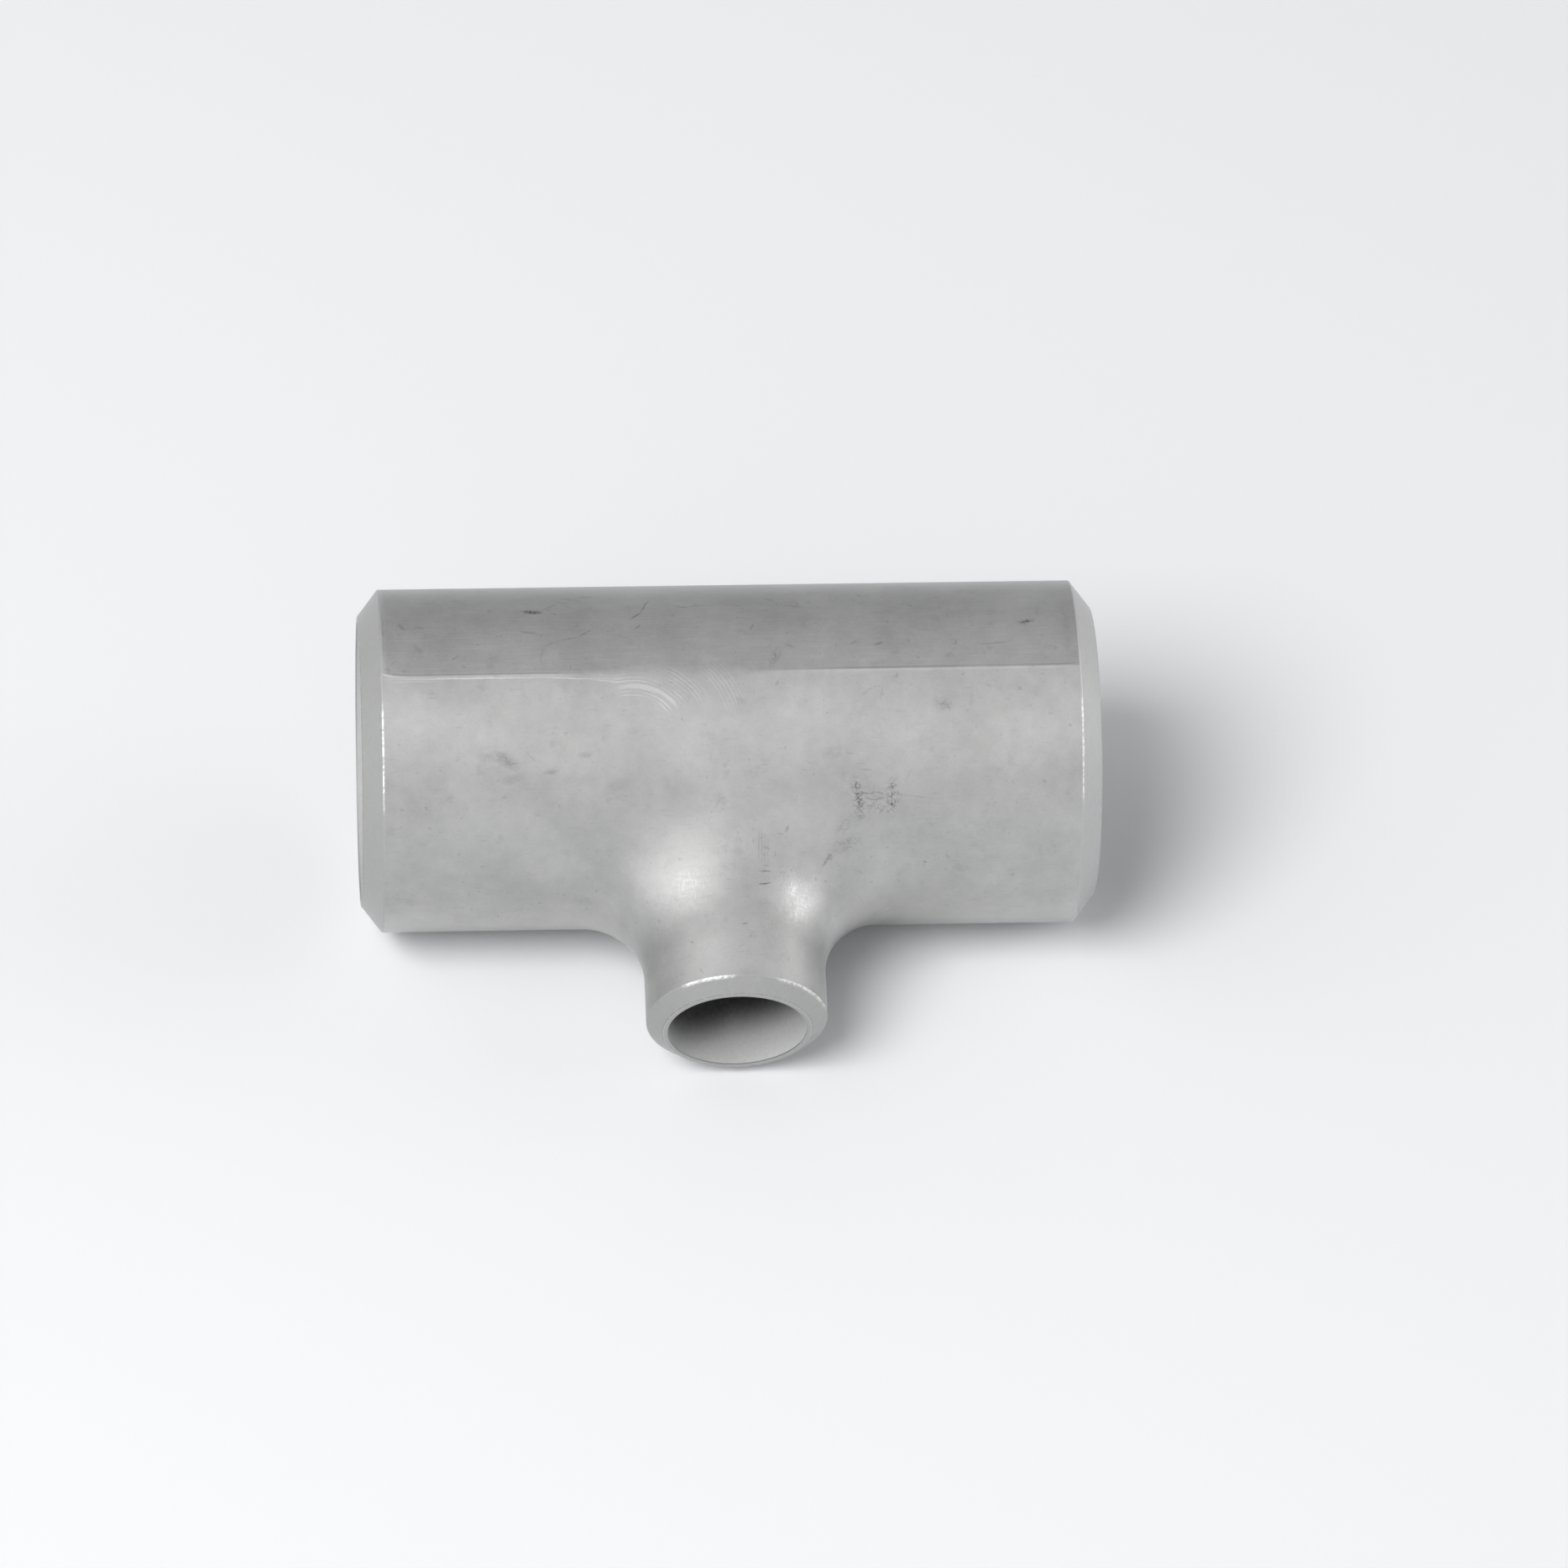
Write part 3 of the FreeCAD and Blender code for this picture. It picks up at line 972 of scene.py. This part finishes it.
def pickled_finish(name, settings, sizes, marks, scribbles):
    """Satin pickled steel, clouded and marked; behind the die ridge it is ground and dull."""
    finish = Finish(name)
    radius = sizes.run_radius / MM
    place = finish.millimetres()
    wall = finish.unrolled(place, radius)
    neck = marks is NECK_MARKS
    sheet, unit = (finish.upright(place), 1.0) if neck else (wall, math.radians(1) * radius)
    mottle = finish.layer(place, MOTTLE)
    grain = finish.layer(place, GRAIN)
    broken = finish.layer(sheet, BROKEN)
    factor = finish.plus(finish.plus(PICKLED_TONE, mottle, MOTTLE.tone), grain, GRAIN.tone)
    for layer, base in ((CLOUDS, place), (STAINS, place), (PITS, place), (STREAKS, sheet)):
        factor = finish.plus(factor, finish.layer(base, layer), layer.tone)
    dark = finish.marks(finish.wobble(sheet, *MARK_WOBBLE), marks, unit)
    factor = finish.plus(factor, finish.times(dark, finish.select(broken, *DARK_BREAKS)), -1)
    curls = finish.marks(finish.wobble(sheet, *SCRIBBLE_WOBBLE), scribbles, unit)
    factor = finish.plus(factor, finish.times(curls, finish.scribble(sheet)), -1)
    steel = settings.pickled_colour
    if marks is BACK_MARKS:
        dull = dull_share(finish, wall, sizes)
        steel = finish.mix(dull, opaque(steel), opaque(settings.dull_colour))
        # Partly painted highlight: a bright line along the lower edge of the die ridge
        bright = finish.marks(finish.wobble(wall, *BRIGHT_WOBBLE), BRIGHT_LINES_AND_RIDGE_GLINT, unit)
        factor = finish.plus(factor, finish.times(bright, finish.select(broken, *BRIGHT_BREAKS)))
        factor = finish.plus(factor, grinding(finish, wall))
        factor = finish.plus(factor, finish.times(finish.layer(wall, BRUSHED), dull), BRUSHED.tone)
    rougher, relief = neck_gloss(finish, place, sizes) if neck else (0, 0)
    finish.set(
        Base_Color=finish.tone(steel, factor),
        Metallic=1.0,
        Roughness=uneven_roughness(finish, settings, mottle, rougher),
        Normal=finish.bump(finish.plus(relief, grain, GRAIN_HEIGHT)),
    )
    return finish.material


def front_finish(settings, sizes):
    """The run's wall round the foot of the neck."""
    return pickled_finish("pickled_front", settings, sizes, FRONT_MARKS, FRONT_SCRIBBLES)


def neck_finish(settings, sizes):
    """The neck and the outlet."""
    return pickled_finish("pickled_neck", settings, sizes, NECK_MARKS, NECK_SCRIBBLES)


def back_finish(settings, sizes):
    """The rest of the run's wall, with the die ridges and the dull back half."""
    return pickled_finish("pickled_back", settings, sizes, BACK_MARKS, BACK_SCRIBBLES)


def burr_glints(finish, place, at_outlet, at_left):
    """How strong the painted glint on a burred rim is: towards the top in front, where light
    catches it, and 0 behind and below.
    """
    parts = finish.parts(place)
    about_run = finish.math("ARCTAN2", parts["Y"], parts["Z"])
    about_outlet = finish.math("ARCTAN2", parts["Y"], parts["X"])
    run_burr_glint = finish.window(about_run, *RUN_BURR_GLINT, BURR_GLINT_FADE)
    run_burr_glint = finish.times(run_burr_glint, finish.select(at_left, *RUN_BURR_GLINT_SHARES))
    left = finish.window(about_outlet, *OUTLET_BURR_GLINT_LEFT, BURR_GLINT_FADE)
    right = finish.window(about_outlet, *OUTLET_BURR_GLINT_RIGHT, BURR_GLINT_FADE)
    outlet_burr_glint = finish.math("MAXIMUM", left, finish.times(right, RIGHT_BURR_GLINT_SHARE))
    return finish.select(at_outlet, run_burr_glint, outlet_burr_glint)


def turned_finish(settings, sizes):
    """Machined bevels and lands, with turning marks, a light line round each land, painted light
    and shade in each bevel's tone, and a painted glint on the burred rims.
    """
    finish = Finish("turned_bevels")
    place = finish.millimetres()
    parts = finish.parts(place)
    run_radius, outlet_radius = (sizes.run_radius / MM, sizes.outlet_radius / MM)
    run_land, outlet_land = ((bore + sizes.weld_land) / MM
                             for bore in (sizes.run_bore_radius, sizes.outlet_bore_radius))
    at_outlet = finish.math("GREATER_THAN", parts["Z"], run_radius + ABOVE_RUN)
    at_left = finish.math("LESS_THAN", parts["X"], 0.0)
    reach = finish.select(at_outlet, finish.reach(place, RUN_SECTION),
                          finish.reach(place, OUTLET_SECTION))
    from_rim = finish.math("SUBTRACT", finish.select(at_outlet, run_radius, outlet_radius), reach)
    from_land = finish.math("SUBTRACT", reach, finish.select(at_outlet, run_land, outlet_land))
    mottle = finish.layer(place, TURNED_MOTTLE)
    grain = finish.layer(place, TURNED_GRAIN)
    nicked = finish.layer(place, NICKED)
    right_lit_tone, left_shaded_tone, outlet_shaded_tone = TURNED_LIT_AND_SHADED_TONES
    # Painted light and shade: each bevel gets its own tone, lighter at the right, darker at the left and
    # on the outlet
    factor = finish.select(at_outlet, finish.select(at_left, right_lit_tone, left_shaded_tone), outlet_shaded_tone)
    factor = finish.plus(finish.plus(factor, mottle, TURNED_MOTTLE.tone), grain, TURNED_GRAIN.tone)
    factor = finish.plus(factor, finish.layer(finish.flat(reach, 0.0), TURNING), TURNING.tone)
    factor = finish.plus(factor, finish.layer(place, SPECKS), SPECKS.tone)
    factor = finish.plus(factor, finish.window(from_land, *LAND_LIGHT), LAND_LIGHT_TONE)
    dark_line = finish.times(finish.window(from_land, *LAND_DARK), nicked)
    factor = finish.plus(factor, dark_line, LAND_DARK_TONE)
    # Painted glint: the rims are lightened in the base colour only where light catches them in front
    on_rim = finish.ease(from_rim, finish.select(at_outlet, *BURR_GLINT_WIDTHS), BURR_GLINT_FULL)
    burr_glint = finish.times(burr_glints(finish, place, at_outlet, at_left), on_rim)
    strength = finish.plus(finish.select(at_outlet, *BURR_GLINT_LEAST), nicked, BURR_GLINT_MORE)
    finish.set(
        Base_Color=finish.tone(settings.turned_colour, finish.plus(factor, burr_glint, strength)),
        Metallic=1.0,
        Roughness=uneven_roughness(finish, settings, mottle, TURNED_ROUGHER),
        Normal=finish.bump(finish.times(grain, TURNED_GRAIN_HEIGHT)),
    )
    return finish.material


def bore_finish(settings, sizes):
    """Rough pickled steel inside, with painted shade: light towards the ends, darkest behind the
    outlet, and shaded further up the outlet's bore at its left.
    """
    finish = Finish("pickled_bore")
    place = finish.millimetres()
    parts = finish.parts(place)
    grain = finish.layer(place, BORE_GRAIN)
    # Painted shade: darker deep inside the bore, its edge leaning higher at the left like the shadow of
    # the outlet's rim
    shade_edge_height = finish.plus(parts["Z"], finish.math("MINIMUM", parts["X"], 0.0), SHADE_LEFT_LEAN)
    outlet_out_of_shade = finish.ease(shade_edge_height, *OUTLET_SHADE_EDGE)
    ends_out_of_shade = finish.ease(finish.math("ABSOLUTE", parts["X"]), *RUN_SHADE_EDGE)
    factor = finish.plus(BORE_SHADE_TONE, finish.math("MAXIMUM", outlet_out_of_shade, ends_out_of_shade), BORE_UNSHADED_LIFT)
    finish.set(
        Base_Color=finish.tone(settings.bore_colour, finish.plus(factor, grain, BORE_GRAIN.tone)),
        Metallic=0.2,
        Roughness=0.7,
        Normal=finish.bump(finish.times(grain, BORE_GRAIN_HEIGHT)),
    )
    return finish.material


class TEE_OT_body(bpy.types.Operator):
    """Builds the fitting in one piece of steel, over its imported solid"""

    bl_idname = "tee.body"
    bl_label = "Build Fitting"

    def execute(self, context):
        sizes = context.scene.tee_sizes
        mesh = tee_mesh(sizes)
        for make in (front_finish, neck_finish, back_finish, turned_finish, bore_finish):
            mesh.materials.append(make(context.scene.tee_finish, sizes))
        body = bpy.data.objects.new("tee_body_steel", mesh)
        context.scene.collection.objects.link(body)
        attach(body, "root")
        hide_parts("tee_body")
        return {"FINISHED"}


def floor_material(settings):
    """Plain pale floor."""
    finish = Finish("pale_floor")
    finish.set(Base_Color=opaque(settings.floor_colour), Roughness=0.9, Specular_IOR_Level=0.1)
    return finish.material


FLOOR_HALF_SIZE = 3.0

# Width of the camera's sensor, in millimetres
SENSOR_WIDTH = 36

# Colour of the light from all round, and of the backdrop that the steel shows. Behind the
# fitting the backdrop darkens, from this share of the way from the side to straight behind.
SKY_COLOUR = (0.93, 0.965, 1.0, 1.0)
BACKDROP_COLOUR = (0.985, 0.99, 1.0, 1.0)
BEHIND_START = 0.35

# Lights: azimuth, elevation and size, and the spread of the two that fade towards their edges
LIGHT_DISTANCE = 2.4
KEY_PLACE = (math.radians(241), math.radians(46), 5.0)
KEY_SPREAD = math.radians(100)
CORE_PLACE = (math.radians(251), math.radians(52), 0.8)
FLOOR_LIGHT_PLACE = (math.radians(220), math.radians(50), 1.35)
SIDE_PLACE = (math.radians(86), math.radians(20), 3.0)
SIDE_SPREAD = math.radians(64)
SMALL_PLACE = (math.radians(103), math.radians(37), 0.2)


def add_floor(settings):
    """A wide pale floor under the fitting."""
    mesh = bpy.data.meshes.new("pale_floor")
    half = FLOOR_HALF_SIZE
    corners = [(-half, -half, 0), (half, -half, 0), (half, half, 0), (-half, half, 0)]
    mesh.from_pydata(corners, [], [(0, 1, 2, 3)])
    mesh.materials.append(floor_material(settings))
    floor = bpy.data.objects.new("pale_floor", mesh)
    floor.location.z = floor_height
    bpy.context.scene.collection.objects.link(floor)


def add_light(name, azimuth, elevation, size, power, spread=math.pi):
    """A round soft light that faces the fitting; its azimuth runs from +Y towards +X."""
    lamp = bpy.data.lights.new(name, "AREA")
    lamp.shape = "DISK"
    lamp.size = size
    lamp.energy = power
    lamp.spread = spread
    toward = Vector((
        math.cos(elevation) * math.sin(azimuth),
        math.cos(elevation) * math.cos(azimuth),
        math.sin(elevation),
    ))
    light = bpy.data.objects.new(name, lamp)
    light.location = toward * LIGHT_DISTANCE
    light.rotation_euler = (-toward).to_track_quat("-Z", "Y").to_euler()
    bpy.context.scene.collection.objects.link(light)
    return light


def add_camera(settings):
    """The camera at the photograph's viewing angle."""
    azimuth, elevation = settings.view_azimuth, settings.view_elevation
    forward = Vector((
        math.cos(elevation) * math.sin(azimuth),
        math.cos(elevation) * math.cos(azimuth),
        -math.sin(elevation),
    ))
    lens = bpy.data.cameras.new("view")
    lens.sensor_width = SENSOR_WIDTH
    lens.lens = settings.focal_length
    camera = bpy.data.objects.new("view", lens)
    turn = forward.to_track_quat("-Z", "Y").to_matrix().to_4x4()
    roll = Matrix.Rotation(settings.view_roll, 4, "Z")
    place = Vector(settings.view_aim) - forward * settings.view_distance
    camera.matrix_world = Matrix.Translation(place) @ turn @ roll
    bpy.context.scene.collection.objects.link(camera)
    bpy.context.scene.camera = camera


def add_surroundings(settings):
    """Light from the horizon, and the pale backdrop that the camera and the steel see."""
    world = bpy.data.worlds.new("pale_surroundings")
    world.use_nodes = True
    sums = Nodes(world.node_tree)
    direction = sums.parts(sums.node("ShaderNodeTexCoord").outputs["Generated"])
    light = sums.ramp(direction["Z"], 0, 1, settings.sky_strength, 0)
    backdrop = sums.ramp(direction["Z"], 0, 1, settings.backdrop_horizon, settings.backdrop_above)
    backdrop = sums.ramp(direction["Y"], BEHIND_START, 1, backdrop, settings.backdrop_behind,
                          kind="SMOOTHSTEP")
    rays = sums.node("ShaderNodeLightPath").outputs
    seen = sums.math("MAXIMUM", rays["Is Camera Ray"], rays["Is Glossy Ray"])
    seen = sums.math("MAXIMUM", seen, rays["Is Transmission Ray"])
    sky = sums.tree.nodes["Background"].inputs
    sums.feed(sky["Strength"], sums.ramp(seen, 0, 1, light, backdrop))
    sums.feed(sky["Color"], sums.mix(seen, SKY_COLOUR, BACKDROP_COLOUR))
    bpy.context.scene.world = world


class TEE_OT_stage(bpy.types.Operator):
    """Sets up the floor, the light and the camera"""

    bl_idname = "tee.stage"
    bl_label = "Set Stage"

    def execute(self, context):
        settings = context.scene.tee_stage
        add_floor(settings)
        add_light("key_light", *KEY_PLACE, settings.key_power, KEY_SPREAD)
        add_light("core_light", *CORE_PLACE, settings.core_power)
        add_light("side_light", *SIDE_PLACE, settings.side_power, SIDE_SPREAD)
        add_light("small_light", *SMALL_PLACE, settings.small_power)
        floor_light = add_light("floor_light", *FLOOR_LIGHT_PLACE, settings.floor_power)
        floor_light.visible_glossy = False
        add_surroundings(settings)
        add_camera(settings)
        context.scene.view_settings.view_transform = "Standard"
        return {"FINISHED"}


class TEE_PT_panel(bpy.types.Panel):
    """Settings and steps of the fitting"""

    bl_label = "Butt Weld Tee"
    bl_idname = "TEE_PT_panel"
    bl_space_type = "VIEW_3D"
    bl_region_type = "UI"
    bl_category = "Fittings"

    def draw(self, context):
        layout = self.layout
        for group in (context.scene.tee_sizes, context.scene.tee_finish, context.scene.tee_stage):
            box = layout.box()
            for name in group.__annotations__:
                box.prop(group, name)
        for operator in (TEE_OT_body, TEE_OT_stage):
            layout.operator(operator.bl_idname)


classes = (TeeSizes, SteelFinish, StageSettings, TEE_OT_body, TEE_OT_stage, TEE_PT_panel)


def register():
    """Registers the classes and hangs the settings on the scene."""
    for entry in classes:
        bpy.utils.register_class(entry)
    bpy.types.Scene.tee_sizes = PointerProperty(type=TeeSizes)
    bpy.types.Scene.tee_finish = PointerProperty(type=SteelFinish)
    bpy.types.Scene.tee_stage = PointerProperty(type=StageSettings)


def unregister():
    """Takes the settings off the scene and unregisters the classes."""
    del bpy.types.Scene.tee_stage
    del bpy.types.Scene.tee_finish
    del bpy.types.Scene.tee_sizes
    for entry in reversed(classes):
        bpy.utils.unregister_class(entry)


def main():
    """Builds everything."""
    register()
    bpy.ops.tee.body()
    bpy.ops.tee.stage()


if __name__ == "__main__":
    main()
